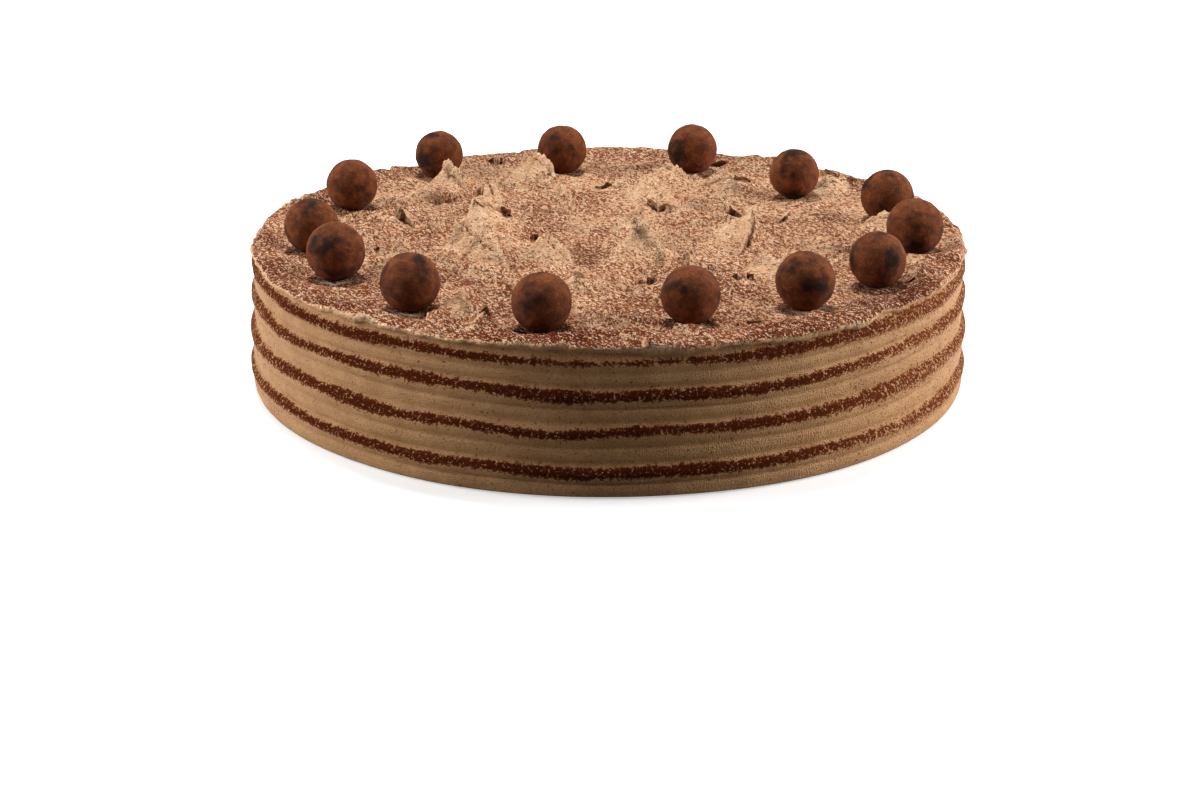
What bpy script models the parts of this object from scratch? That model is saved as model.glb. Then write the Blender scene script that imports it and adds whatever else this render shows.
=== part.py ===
"""Round chocolate cream cake with a combed side, a spatula-worked top and fourteen cocoa truffles.

Metres, +Z up. The origin is the centre of the flat base, and -Y is the front of the cake.
"""

import math

import bmesh
import bpy
from mathutils import Vector, noise

MM = 0.001

# Driving sizes of the whole cake.
RIM_RADIUS = 140.5 * MM
RIM_HEIGHT = 56.5 * MM
BASE_RADIUS = 138.5 * MM
BASE_EDGE = 0.8 * MM

# The comb leaves four rolls round the side. Each row is a roll from the base upwards:
# its lower height, its upper height and the radius of its crest.
ROLLS = (
    (0.8 * MM, 13.0 * MM, 143.0 * MM),
    (13.4 * MM, 27.6 * MM, 142.4 * MM),
    (28.0 * MM, 41.2 * MM, 141.6 * MM),
    (41.6 * MM, 52.4 * MM, 141.2 * MM),
)
LEDGE_HEIGHT = 3.6 * MM
LEDGE_DEPTH = 2.3 * MM
ROLL_UNDERCUT = 1.1 * MM
LIP_UNDERCUT = 1.3 * MM
LIP_START = 52.8 * MM

# The top is spread out to a low rim, and lies a little lower inside it.
TOP_EDGE_RADIUS = 137.4 * MM
TOP_LEVEL = 53.9 * MM
RIM_LIFT = 2.5 * MM
RIM_LIFT_START = 117.0 * MM
RIM_LIFT_END = 134.0 * MM
TOP_SWELL = 1.5 * MM
TOP_RIPPLE = 0.9 * MM
SWELL_WIDTH = 48.0 * MM
RIPPLE_WIDTH = 14.0 * MM

# Hand-turned combing wanders a little in and out, and up and down.
RADIUS_WANDER = 0.9 * MM
LINE_WANDER = 0.8 * MM
WANDER_SCALE = 1.6

# The top's square grid has this many cells a side, so the rim has four times as many segments.
TOP_CELLS = 36
RIM_SEGMENTS = 4 * TOP_CELLS

# Peaks pulled up by the spatula, in millimetres: the tip's x and y, the x and y where its crest runs
# out, its height, and how far it spreads on the left and on the right of the line from tip to end.
PEAKS = (
    (-70, 76, -59, 68, 11.0, 6.0, 8.0),
    (-49, 58, -43, 30, 6.0, 6.5, 4.0),
    (-56, -22, -37, -48, 12.0, 7.5, 6.5),
    (-53, 13, -36, 23, 6.5, 5.5, 11.0),
    (-25, -16, -12, -44, 6.5, 7.0, 7.0),
    (-34, 99, -21, 78, 8.0, 7.0, 5.0),
    (10, -27, 23, -37, 12.5, 6.0, 10.0),
    (17, 60, 31, 20, 8.0, 5.0, 8.0),
    (16, 20, 2, 9, 4.5, 5.5, 5.5),
    (56, -2, 52, -22, 11.0, 6.5, 9.5),
    (53, 71, 36, 68, 5.5, 5.5, 6.0),
    (88, 72, 105, 73, 5.5, 5.5, 5.5),
    (117, 13, 103, 15, 6.5, 6.0, 5.0),
    (26, 100, 36, 88, 5.0, 5.0, 6.0),
    (-84, 26, -76, 20, 2.5, 5.5, 5.5),
    (-50, -101, -58, -88, 5.5, 4.0, 5.0),
    (-44, -119, -41, -113, 4.5, 5.0, 5.0),
    (-12, -73, -9, -66, 5.0, 5.0, 5.0),
    (58, -44, 71, -62, 4.5, 6.0, 5.0),
)
CREST_FALL = 0.8
TIP_WIDTH = 4.5 * MM
CREST_STEPS = (0.0, 0.45)

# Each truffle's place round the cake in degrees, its distance from the middle, and its radius.
TRUFFLES = (
    (206.5, 113.8 * MM, 11.1 * MM),
    (187.6, 116.1 * MM, 10.7 * MM),
    (155.8, 116.0 * MM, 10.6 * MM),
    (126.3, 123.4 * MM, 10.4 * MM),
    (100.1, 109.8 * MM, 10.8 * MM),
    (70.7, 116.0 * MM, 10.9 * MM),
    (39.5, 103.5 * MM, 10.5 * MM),
    (14.3, 118.6 * MM, 10.8 * MM),
    (352.0, 121.4 * MM, 11.1 * MM),
    (328.5, 118.0 * MM, 10.6 * MM),
    (309.0, 113.6 * MM, 10.8 * MM),
    (285.7, 109.2 * MM, 10.6 * MM),
    (258.6, 116.0 * MM, 10.7 * MM),
    (232.0, 114.8 * MM, 10.9 * MM),
)
TRUFFLE_HEIGHT = 63.0 * MM
TRUFFLE_SEGMENTS = 12
TRUFFLE_RINGS = 9
TRUFFLE_LUMP = 0.25 * MM
SOCKET_GAP = 0.35 * MM

CREAM = (0.42, 0.25, 0.15, 1.0)
COCOA = (0.10, 0.035, 0.015, 1.0)
MERGE = 0.00002


def clear_scene():
    for thing in list(bpy.data.objects):
        bpy.data.objects.remove(thing)


def material(name, colour, roughness):
    made = bpy.data.materials.new(name)
    made.use_nodes = True
    shader = made.node_tree.nodes["Principled BSDF"]
    shader.inputs["Base Color"].default_value = colour
    shader.inputs["Roughness"].default_value = roughness
    shader.inputs["Metallic"].default_value = 0.0
    return made


def finished_object(name, shape, finish):
    """The bmesh as a smooth-shaded object of that name."""
    mesh = bpy.data.meshes.new(name)
    bmesh.ops.recalc_face_normals(shape, faces=shape.faces)
    shape.to_mesh(mesh)
    shape.free()
    mesh.shade_smooth()
    mesh.materials.append(finish)
    made = bpy.data.objects.new(name, mesh)
    bpy.context.scene.collection.objects.link(made)
    return made


def smooth_step(value):
    value = min(max(value, 0.0), 1.0)
    return value * value * (3.0 - 2.0 * value)


def peak_height(x, y, peak):
    """The height that one pulled-up peak adds at a point: a sharp crest, highest at its tip."""
    tip_x, tip_y, end_x, end_y, height, left, right = (value * MM for value in peak)
    run_x, run_y = end_x - tip_x, end_y - tip_y
    length = math.hypot(run_x, run_y)
    along = ((x - tip_x) * run_x + (y - tip_y) * run_y) / length
    across = ((y - tip_y) * run_x - (x - tip_x) * run_y) / length
    if along < 0.0:
        crest = math.exp(along / TIP_WIDTH)
    else:
        crest = max(1.0 - along / length, 0.0) ** CREST_FALL
    spread = left if across > 0.0 else right
    return height * crest * math.exp(-abs(across) / spread)


def top_height(x, y):
    """The height of the spread cream at a point of the top."""
    out = math.hypot(x, y)
    lift = smooth_step((out - RIM_LIFT_START) / (RIM_LIFT_END - RIM_LIFT_START))
    swell = noise.noise(Vector((x, y, 0.0)) / SWELL_WIDTH)
    ripple = noise.noise(Vector((x, y, 0.3)) / RIPPLE_WIDTH)
    peaks = max(peak_height(x, y, peak) for peak in PEAKS)
    return TOP_LEVEL + RIM_LIFT * lift + TOP_SWELL * swell + TOP_RIPPLE * ripple + peaks


def side_profile():
    """(radius, height) of the combed side, from the base to the edge of the top."""
    points = [(BASE_RADIUS, 0.0), (BASE_RADIUS + BASE_EDGE, BASE_EDGE * 0.5)]
    for low, high, crest in ROLLS:
        points += [
            (crest - ROLL_UNDERCUT, low),
            (crest - ROLL_UNDERCUT * 0.2, low + (high - low) * 0.3),
            (crest, high - LEDGE_HEIGHT),
            (crest - LEDGE_DEPTH, high),
        ]
    points += [
        (RIM_RADIUS - LIP_UNDERCUT, LIP_START),
        (RIM_RADIUS, LIP_START + (RIM_HEIGHT - LIP_START) * 0.4),
        (RIM_RADIUS - 0.6 * MM, LIP_START + (RIM_HEIGHT - LIP_START) * 0.8),
        (TOP_EDGE_RADIUS, RIM_HEIGHT),
    ]
    return points


def wander_side(x, y, z):
    """A side point, moved a little in or out and up or down as a hand-held comb would leave it."""
    out = math.hypot(x, y)
    turn = Vector((x, y, 0.0)) / out * WANDER_SCALE
    shift_out = RADIUS_WANDER * noise.noise(turn + Vector((0.0, 0.0, z * 30.0)))
    shift_up = LINE_WANDER * noise.noise(turn * 2.0 + Vector((4.0, 0.0, z * 40.0)))
    shift_up *= smooth_step(z / LEDGE_HEIGHT)
    edge = smooth_step((z - LIP_START) / (RIM_HEIGHT - LIP_START))
    share = (out + shift_out * (1.0 - edge)) / out
    rise = (top_height(x, y) - RIM_HEIGHT) * edge
    return Vector((x * share, y * share, z + shift_up * (1.0 - edge) + rise))


def to_disc(x, y, radius):
    """A point of the square from -1 to 1, moved to the disc so that equal areas stay equal."""
    if x == 0.0 and y == 0.0:
        return 0.0, 0.0
    if abs(x) > abs(y):
        out, turn = x, math.pi / 4.0 * (y / x)
    else:
        out, turn = y, math.pi / 2.0 - math.pi / 4.0 * (x / y)
    return radius * out * math.cos(turn), radius * out * math.sin(turn)


def make_top(shape):
    """The worked top: a square grid pressed round, with its nearest points drawn onto each crest."""
    grid = bmesh.ops.create_grid(shape, x_segments=TOP_CELLS, y_segments=TOP_CELLS, size=1.0)
    inner = []
    for vert in grid["verts"]:
        on_edge = max(abs(vert.co.x), abs(vert.co.y)) > 1.0 - 0.5 / TOP_CELLS
        x, y = to_disc(vert.co.x, vert.co.y, TOP_EDGE_RADIUS)
        vert.co = (x, y, 0.0)
        if not on_edge:
            inner.append(vert)
    for peak in PEAKS:
        tip, end = Vector(peak[0:2]) * MM, Vector(peak[2:4]) * MM
        for step in CREST_STEPS:
            crest = tip.lerp(end, step)
            nearest = min(inner, key=lambda vert: (vert.co.xy - crest).length)
            nearest.co.xy = crest
            inner.remove(nearest)
    for vert in grid["verts"]:
        vert.co.z = top_height(vert.co.x, vert.co.y)


def make_side(shape):
    """The combed side, turned from its profile and closed underneath by the flat base."""
    verts = [shape.verts.new((radius, 0.0, z)) for radius, z in side_profile()]
    edges = [shape.edges.new(pair) for pair in zip(verts, verts[1:])]
    bmesh.ops.spin(
        shape,
        geom=verts + edges,
        cent=(0.0, 0.0, 0.0),
        axis=(0.0, 0.0, 1.0),
        angle=2.0 * math.pi,
        steps=RIM_SEGMENTS,
        use_merge=True,
    )
    for vert in shape.verts:
        vert.co = wander_side(*vert.co)
    base = [edge for edge in shape.edges if edge.is_boundary and edge.verts[0].co.z < BASE_EDGE * 0.1]
    bmesh.ops.contextual_create(shape, geom=base)


def make_cake(finish):
    shape = bmesh.new()
    make_side(shape)
    make_top(shape)
    bmesh.ops.remove_doubles(shape, verts=shape.verts, dist=MERGE)
    bmesh.ops.triangulate(shape, faces=shape.faces)
    return finished_object("cake", shape, finish)


def truffle_object(name, number, gap, finish):
    """One hand-rolled truffle, or with a gap its slightly larger cutter, standing at its place."""
    angle, out, radius = TRUFFLES[number]
    shape = bmesh.new()
    bmesh.ops.create_uvsphere(
        shape, u_segments=TRUFFLE_SEGMENTS, v_segments=TRUFFLE_RINGS, radius=radius
    )
    for vert in shape.verts:
        way = vert.co.normalized()
        lump = TRUFFLE_LUMP * noise.noise(way * 1.5 + Vector((number * 3.0, 0.0, 0.0)))
        vert.co = way * (radius + lump + gap)
    made = finished_object(name, shape, finish)
    turn = math.radians(angle)
    made.location = (out * math.cos(turn), out * math.sin(turn), TRUFFLE_HEIGHT)
    made.rotation_euler = (0.0, 0.0, turn)
    return made


def cut_sockets(cake, finish):
    """Presses each truffle's dent into the cream, a hair wider than the truffle."""
    cutters = bpy.data.collections.new("truffle_sockets")
    bpy.context.scene.collection.children.link(cutters)
    for number in range(len(TRUFFLES)):
        cutter = truffle_object(f"socket_{number + 1:02d}", number, SOCKET_GAP, finish)
        bpy.context.scene.collection.objects.unlink(cutter)
        cutters.objects.link(cutter)
        cutter.hide_render = True
        cutter.display_type = "WIRE"
    cut = cake.modifiers.new("sockets", "BOOLEAN")
    cut.operation = "DIFFERENCE"
    cut.operand_type = "COLLECTION"
    cut.collection = cutters
    cut.solver = "EXACT"


def main():
    clear_scene()
    cream = material("chocolate_cream", CREAM, 0.75)
    cocoa = material("cocoa_powder", COCOA, 0.95)
    cake = make_cake(cream)
    for number in range(len(TRUFFLES)):
        truffle_object(f"truffle_{number + 1:02d}", number, 0.0, cocoa)
    cut_sockets(cake, cream)


main()
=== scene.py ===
# %% [markdown]
# # A chocolate cream cake with fourteen truffles
#
# The cake is a low drum of chocolate cream. A comb held against its side, while it turned, left four
# soft rolls, and cocoa powder has settled on the ledge above each roll. The top was spread with a
# spatula and pulled up into peaks, and small truffles stand in a ring near the rim.
#
# The look is made in this order: measures, materials, the combed side, the worked top, its torn edges,
# the truffles, and last the light and the camera.

import math

import bmesh
import bpy
import numpy as np
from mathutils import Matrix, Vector, noise


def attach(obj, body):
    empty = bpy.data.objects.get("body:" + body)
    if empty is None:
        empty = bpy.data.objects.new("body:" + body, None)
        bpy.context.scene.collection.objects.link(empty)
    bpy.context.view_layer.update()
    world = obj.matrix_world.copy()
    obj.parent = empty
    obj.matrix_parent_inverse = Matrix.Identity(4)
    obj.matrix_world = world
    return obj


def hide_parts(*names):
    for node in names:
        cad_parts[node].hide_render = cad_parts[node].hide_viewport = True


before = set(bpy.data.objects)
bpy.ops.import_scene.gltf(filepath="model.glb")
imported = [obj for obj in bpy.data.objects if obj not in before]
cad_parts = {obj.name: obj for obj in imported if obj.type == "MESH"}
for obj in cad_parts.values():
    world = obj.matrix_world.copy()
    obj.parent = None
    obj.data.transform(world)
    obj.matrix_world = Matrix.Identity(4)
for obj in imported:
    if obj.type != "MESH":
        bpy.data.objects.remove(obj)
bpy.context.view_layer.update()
MM = 0.001
print("nodes in the frame:", len(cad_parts))

# %% [markdown]
# ## Measures
#
# All sizes are in metres, in the frame of the solids: the origin is the middle of the flat base, +Z is
# up and -Y is the front. The table of peaks says where the spatula pulled the cream up, so that the
# fine surface and the plain solid rise in the same places.

# %% Sizes of the cake
RIM_RADIUS = 140.5 * MM
BASE_RADIUS = 138.5 * MM
BASE_EDGE = 0.8 * MM

# Each roll: its lower height, its upper height and the radius of its crest. Between two rolls runs a
# gap of twice HALF_GAP.
ROLLS = (
    (0.8 * MM, 13.0 * MM, 143.0 * MM),
    (13.4 * MM, 27.6 * MM, 142.4 * MM),
    (28.0 * MM, 41.2 * MM, 141.6 * MM),
    (41.6 * MM, 52.4 * MM, 141.2 * MM),
)
HALF_GAP = 0.2 * MM
LEDGE_HEIGHT = 3.6 * MM
LEDGE_DEPTH = 2.4 * MM
ROLL_UNDERCUT = 1.5 * MM

# The top is level but for a long swell, a shorter ripple and a low lift towards the rim.
TOP_EDGE_RADIUS = 137.4 * MM
TOP_LEVEL = 53.9 * MM
RIM_LIFT = 2.5 * MM
RIM_LIFT_START = 117.0 * MM
RIM_LIFT_END = 134.0 * MM
TOP_SWELL = 1.5 * MM
TOP_RIPPLE = 0.9 * MM
SWELL_WIDTH = 48.0 * MM
RIPPLE_WIDTH = 14.0 * MM

# The drum stands a little to the right of the ring of truffles, and no hand holds a comb quite still.
DRUM_SHIFT = 0.9 * MM
RADIUS_WANDER = 0.9 * MM
LINE_WANDER = 0.8 * MM
WANDER_SCALE = 1.6

# Peaks, in millimetres: the tip's x and y, the x and y where the crest runs out, the height, and how
# far it spreads on the left and on the right of the line from tip to end.
PEAKS = (
    (-70, 76, -59, 68, 11.0, 6.0, 8.0),
    (-49, 58, -43, 30, 6.0, 6.5, 4.0),
    (-56, -22, -37, -48, 12.0, 7.5, 6.5),
    (-53, 13, -36, 23, 6.5, 5.5, 11.0),
    (-25, -16, -12, -44, 6.5, 7.0, 7.0),
    (-34, 99, -21, 78, 8.0, 7.0, 5.0),
    (10, -27, 23, -37, 12.5, 6.0, 10.0),
    (17, 60, 31, 20, 8.0, 5.0, 8.0),
    (16, 20, 2, 9, 4.5, 5.5, 5.5),
    (56, -2, 52, -22, 11.0, 6.5, 9.5),
    (53, 71, 36, 68, 5.5, 5.5, 6.0),
    (88, 72, 105, 73, 5.5, 5.5, 5.5),
    (117, 13, 103, 15, 6.5, 6.0, 5.0),
    (26, 100, 36, 88, 5.0, 5.0, 6.0),
    (-84, 26, -76, 20, 2.5, 5.5, 5.5),
    (-50, -101, -58, -88, 5.5, 4.0, 5.0),
    (-44, -119, -41, -113, 4.5, 5.0, 5.0),
    (-12, -73, -9, -66, 5.0, 5.0, 5.0),
    (58, -44, 71, -62, 4.5, 6.0, 5.0),
)
CREST_FALL = 0.8
TIP_WIDTH = 4.5 * MM

# Each truffle's place round the cake in degrees, its distance from the middle, and its radius.
TRUFFLES = (
    (206.5, 113.8 * MM, 11.1 * MM),
    (187.6, 116.1 * MM, 10.7 * MM),
    (155.8, 116.0 * MM, 10.6 * MM),
    (126.3, 123.4 * MM, 10.4 * MM),
    (100.1, 109.8 * MM, 10.8 * MM),
    (70.7, 116.0 * MM, 10.9 * MM),
    (39.5, 103.5 * MM, 10.5 * MM),
    (14.3, 118.6 * MM, 10.8 * MM),
    (352.0, 121.4 * MM, 11.1 * MM),
    (328.5, 118.0 * MM, 10.6 * MM),
    (309.0, 113.6 * MM, 10.8 * MM),
    (285.7, 109.2 * MM, 10.6 * MM),
    (258.6, 116.0 * MM, 10.7 * MM),
    (232.0, 114.8 * MM, 10.9 * MM),
)
TRUFFLE_HEIGHT = 63.0 * MM
TRUFFLE_LUMP = 0.25 * MM
print("peaks:", len(PEAKS), "truffles:", len(TRUFFLES))

# %% Small helpers for shapes


def smooth_step(value):
    """0 below 0, 1 above 1 and a soft curve between, for numbers and arrays."""
    value = np.clip(value, 0.0, 1.0)
    return value * value * (3.0 - 2.0 * value)


def same_noise(points, width):
    """The noise that shaped the plain solid, so that the fine surface rises where the solid does."""
    return np.array([noise.noise(Vector(point)) for point in (points / width).tolist()])


def lattice_slope(cell, seed):
    """A pseudo-random direction for each corner of the noise's lattice."""
    mixed = cell[:, 0] * 374761393 + cell[:, 1] * 668265263 + cell[:, 2] * 1442695041 + seed * 97531
    mixed = ((mixed & 0xFFFFFFFF) ^ ((mixed & 0xFFFFFFFF) >> 13)) * 1274126177 & 0xFFFFFFFF
    mixed = (mixed ^ (mixed >> 16)) & 0x3FFFFFFF
    return np.column_stack((mixed & 1023, (mixed >> 10) & 1023, (mixed >> 20) & 1023)) / 511.5 - 1.0


def noise_at(points, width, seed=0):
    """Smooth noise from about -1 to 1 at each point, with bumps of that width in metres."""
    place = points / width
    cell = np.floor(place).astype(np.int64)
    part = place - cell
    fade = part * part * part * (part * (part * 6.0 - 15.0) + 10.0)
    total = np.zeros(len(points))
    for corner in np.ndindex(2, 2, 2):
        step = np.array(corner)
        weight = np.prod(np.where(step == 1, fade, 1.0 - fade), axis=1)
        slope = lattice_slope(cell + step, seed)
        total += weight * np.sum(slope * (part - step), axis=1)
    return total * 1.4


def flat_points(x, y, z=0.0):
    """x, y and one shared or separate z as a list of points."""
    return np.column_stack((x, y, np.broadcast_to(z, x.shape)))


def read_points(mesh):
    points = np.empty(len(mesh.vertices) * 3)
    mesh.vertices.foreach_get("co", points)
    return points.reshape(-1, 3)


def write_points(mesh, points):
    mesh.vertices.foreach_set("co", points.ravel())
    mesh.update()


def read_normals(mesh):
    normals = np.empty(len(mesh.vertices) * 3)
    mesh.vertex_normals.foreach_get("vector", normals)
    return normals.reshape(-1, 3)


def paint(mesh, name, values):
    """Stores one number for each vertex under that name, for a material to read."""
    layer = mesh.attributes.new(name, "FLOAT", "POINT")
    layer.data.foreach_set("value", np.asarray(values, dtype=np.float32))


def new_object(name, shape, finish):
    """The bmesh as an object, with outward normals, smooth shading and that material."""
    mesh = bpy.data.meshes.new(name)
    bmesh.ops.recalc_face_normals(shape, faces=shape.faces)
    shape.to_mesh(mesh)
    shape.free()
    mesh.shade_smooth()
    mesh.materials.append(finish)
    made = bpy.data.objects.new(name, mesh)
    bpy.context.scene.collection.objects.link(made)
    return made


print("helpers ready")

# %% [markdown]
# ## Materials
#
# Three finishes are enough. The cream is a matt, slightly fatty chocolate butter cream. Cocoa powder
# lies on it as dust: one painted number, `cocoa`, says how thickly, and a fine noise breaks that up
# into single specks, so an edge of dust ends in grains and never in a line. The truffles are rolled in
# the same powder, which is dry and light where it lies loose and nearly black where it has drawn moist.

# %% Helpers for materials


def linear(code):
    """An sRGB hex colour as the linear RGBA that a shader takes."""
    parts = [int(code[start : start + 2], 16) / 255.0 for start in (1, 3, 5)]
    parts = [part / 12.92 if part <= 0.04045 else ((part + 0.055) / 1.055) ** 2.4 for part in parts]
    return (*parts, 1.0)


def new_material(name, roughness, ior):
    """A Principled material: (material, its node tree, its shader)."""
    made = bpy.data.materials.new(name)
    made.use_nodes = True
    shader = made.node_tree.nodes["Principled BSDF"]
    shader.inputs["Roughness"].default_value = roughness
    shader.inputs["IOR"].default_value = ior
    return made, made.node_tree, shader


def add(tree, kind, values=None, links=None, **settings):
    """A node with its settings, its sockets' constants and what feeds them."""
    node = tree.nodes.new(kind)
    for key, value in settings.items():
        setattr(node, key, value)
    for key, value in (values or {}).items():
        node.inputs[key].default_value = value
    for key, socket in (links or {}).items():
        tree.links.new(socket, node.inputs[key])
    return node


def object_points(tree, stretch=(1.0, 1.0, 1.0), turn=0.0):
    """The object's own coordinates in metres, turned about Z and then stretched."""
    place = add(tree, "ShaderNodeTexCoord").outputs["Object"]
    turned = add(tree, "ShaderNodeMapping", {"Rotation": (0.0, 0.0, turn)}, {"Vector": place})
    return add(
        tree, "ShaderNodeMapping", {"Scale": stretch}, {"Vector": turned.outputs["Vector"]}
    ).outputs["Vector"]


def grain(tree, points, width, detail=2.0, roughness=0.5, distortion=0.0):
    """Noise from 0 to 1 with spots of that width in metres."""
    return add(
        tree,
        "ShaderNodeTexNoise",
        {"Scale": 1.0 / width, "Detail": detail, "Roughness": roughness, "Distortion": distortion},
        {"Vector": points},
    ).outputs["Fac"]


def spread(tree, value, low, high, out_low=0.0, out_high=1.0):
    """The value from low to high, moved to run from out_low to out_high and held there."""
    values = {"From Min": low, "From Max": high, "To Min": out_low, "To Max": out_high}
    return add(tree, "ShaderNodeMapRange", values, {"Value": value}, clamp=True).outputs["Result"]


def calculate(tree, operation, first, second):
    """One sum or product of two sockets, or of a socket and a number."""
    node = add(tree, "ShaderNodeMath", operation=operation)
    for place, value in enumerate((first, second)):
        if isinstance(value, (int, float)):
            node.inputs[place].default_value = value
        else:
            tree.links.new(value, node.inputs[place])
    return node.outputs["Value"]


def blend(tree, share, first, second):
    """Two colours mixed by a share from 0 to 1."""
    node = add(tree, "ShaderNodeMix", data_type="RGBA")
    tree.links.new(share, node.inputs["Factor"])
    for key, value in (("A", first), ("B", second)):
        socket = [item for item in node.inputs if item.name == key and item.type == "RGBA"][0]
        if isinstance(value, tuple):
            socket.default_value = value
        else:
            tree.links.new(value, socket)
    return [item for item in node.outputs if item.type == "RGBA"][0]


def bump(tree, height, depth, strength=1.0, normal=None):
    links = {"Height": height}
    if normal is not None:
        links["Normal"] = normal
    return add(
        tree, "ShaderNodeBump", {"Strength": strength, "Distance": depth}, links
    ).outputs["Normal"]


print("material helpers ready")

# %% Cream with cocoa dust
# A single grain of cocoa is far too fine to see, so the specks are the small clumps that it falls in.
SPECK_WIDTH = 1.0 * MM
FINE_SPECK_WIDTH = 0.45 * MM
SIDE_CREAM = ("#cd9a66", "#bb8856")
TOP_CREAM = ("#e0b78f", "#cd9d72")
GRAINY_CREAM = "#8c5f36"
# Painted shade inside the burst air bubbles.
PINHOLE_SHADE = "#3a2414"
# Pale colour: the bare white fat squeezed out at truffles' feet, and a painted highlight on the top.
PALE_FAT_AND_PAINTED_GLINT = "#f2dcc4"
DRAWN_OUT = (0.6, 1.0, 1.0)
DRAWN_TURN = math.radians(50.0)
# Painted shade for the tears, the clefts behind tall crests and the feet of leaning blades.
PAINTED_TEAR_SHADE = "#74502f"
DUST_LIGHT = "#7e3b1e"
DUST_DEEP = "#481805"


def cream_material(name, scratched, thinnest, creams):
    """Butter cream with cocoa: combed, with long fine scratches, or spread, with short strokes."""
    made, tree, shader = new_material(name, 0.62, 1.45)
    points = object_points(tree)
    thick = add(tree, "ShaderNodeAttribute", attribute_name="cocoa").outputs["Fac"]
    # On the top the specks are drawn out a little along the spatula's way.
    drawn = points if scratched else object_points(tree, DRAWN_OUT, DRAWN_TURN)

    # Specks: coarse and fine noise summed, then cut by how thickly the cocoa lies.
    coarse = grain(tree, drawn, SPECK_WIDTH, 2.0, 0.55, 0.6)
    fine = grain(tree, drawn, FINE_SPECK_WIDTH, 1.0)
    coarse_part = calculate(tree, "MULTIPLY", coarse, 0.7)
    mixed = calculate(tree, "ADD", coarse_part, calculate(tree, "MULTIPLY", fine, 0.3))
    even = spread(tree, mixed, 0.36, 0.64)
    covered = spread(tree, calculate(tree, "ADD", even, thick), 0.93, 1.07)

    # A thin dusting lets the cream through, and a thick one hides it.
    body = spread(tree, thick, 0.4, 0.85, thinnest, 1.0)
    share = calculate(tree, "MULTIPLY", covered, body)

    patch = grain(tree, points, 9.0 * MM, 3.0)
    cream = blend(tree, spread(tree, patch, 0.35, 0.65), linear(creams[0]), linear(creams[1]))
    dust = blend(tree, spread(tree, thick, 0.45, 0.95), linear(DUST_LIGHT), linear(DUST_DEEP))
    # Butter cream is never quite smooth: fine darker grains show all over it.
    pores = spread(tree, grain(tree, points, 0.6 * MM, 2.0, 0.6), 0.45, 0.65, 0.0, 0.4)
    cream = blend(tree, pores, cream, linear(GRAINY_CREAM))
    colour = blend(tree, share, cream, dust)
    if scratched:
        # Long scratches along the comb's way: little change round the cake, much change upwards.
        streak = grain(tree, object_points(tree, (12.0, 12.0, 900.0)), 1.0, 3.0, 0.6)
        lines = bump(tree, streak, 0.35 * MM, 0.8)
        # Small air bubbles burst open: their holes are painted shade, dark dots a few millimetres apart.
        cell = add(
            tree, "ShaderNodeTexVoronoi", {"Scale": 1.0 / (5.0 * MM)}, {"Vector": points}
        ).outputs["Distance"]
        pinhole_shade = spread(tree, cell, 0.04, 0.075, 1.0, 0.0)
        colour = blend(tree, calculate(tree, "MULTIPLY", pinhole_shade, 0.6), colour, linear(PINHOLE_SHADE))
    else:
        streak = grain(tree, drawn, 2.0 * MM, 3.0, 0.6, 0.8)
        lines = bump(tree, streak, 1.5 * MM, 1.0)
        # Painted highlight: pale glints between the specks stand for crests of fat catching light.
        # Painted shade: inside the tears the cream is darkened, where shade falls.
        painted_glint = spread(tree, grain(tree, drawn, 0.7 * MM, 1.0), 0.6, 0.68, 0.0, 0.5)
        colour = blend(tree, painted_glint, colour, linear(PALE_FAT_AND_PAINTED_GLINT))
        # The lip is the same bare cream as the side below it.
        lip = add(tree, "ShaderNodeAttribute", attribute_name="lip").outputs["Fac"]
        below = blend(tree, pores, linear(SIDE_CREAM[0]), linear(GRAINY_CREAM))
        colour = blend(tree, lip, colour, below)
        smear = add(tree, "ShaderNodeAttribute", attribute_name="smear").outputs["Fac"]
        colour = blend(tree, smear, colour, linear(PALE_FAT_AND_PAINTED_GLINT))
        # Painted shade: tears, clefts and blade roots are darkened, where shade falls.
        tear_shade = add(tree, "ShaderNodeAttribute", attribute_name="tear_shade").outputs["Fac"]
        colour = blend(tree, tear_shade, colour, linear(PAINTED_TEAR_SHADE))
    rough = bump(tree, calculate(tree, "ADD", mixed, fine), 0.55 * MM, 0.9, lines)
    tree.links.new(colour, shader.inputs["Base Color"])
    tree.links.new(rough, shader.inputs["Normal"])
    tree.links.new(spread(tree, share, 0.0, 1.0, 0.55, 0.95), shader.inputs["Roughness"])
    tree.links.new(spread(tree, share, 0.0, 1.0, 0.3, 0.04), shader.inputs["Specular IOR Level"])
    return made


combed_cream = cream_material("combed_butter_cream", True, 0.95, SIDE_CREAM)
spread_cream = cream_material("spread_butter_cream", False, 0.88, TOP_CREAM)

# %% Cocoa on the truffles
TRUFFLE_DRY = "#7d4322"
TRUFFLE_BROWN = "#4a230f"
TRUFFLE_MOIST = "#120804"
POWDER_EDGE = "#8a5a40"


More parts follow.
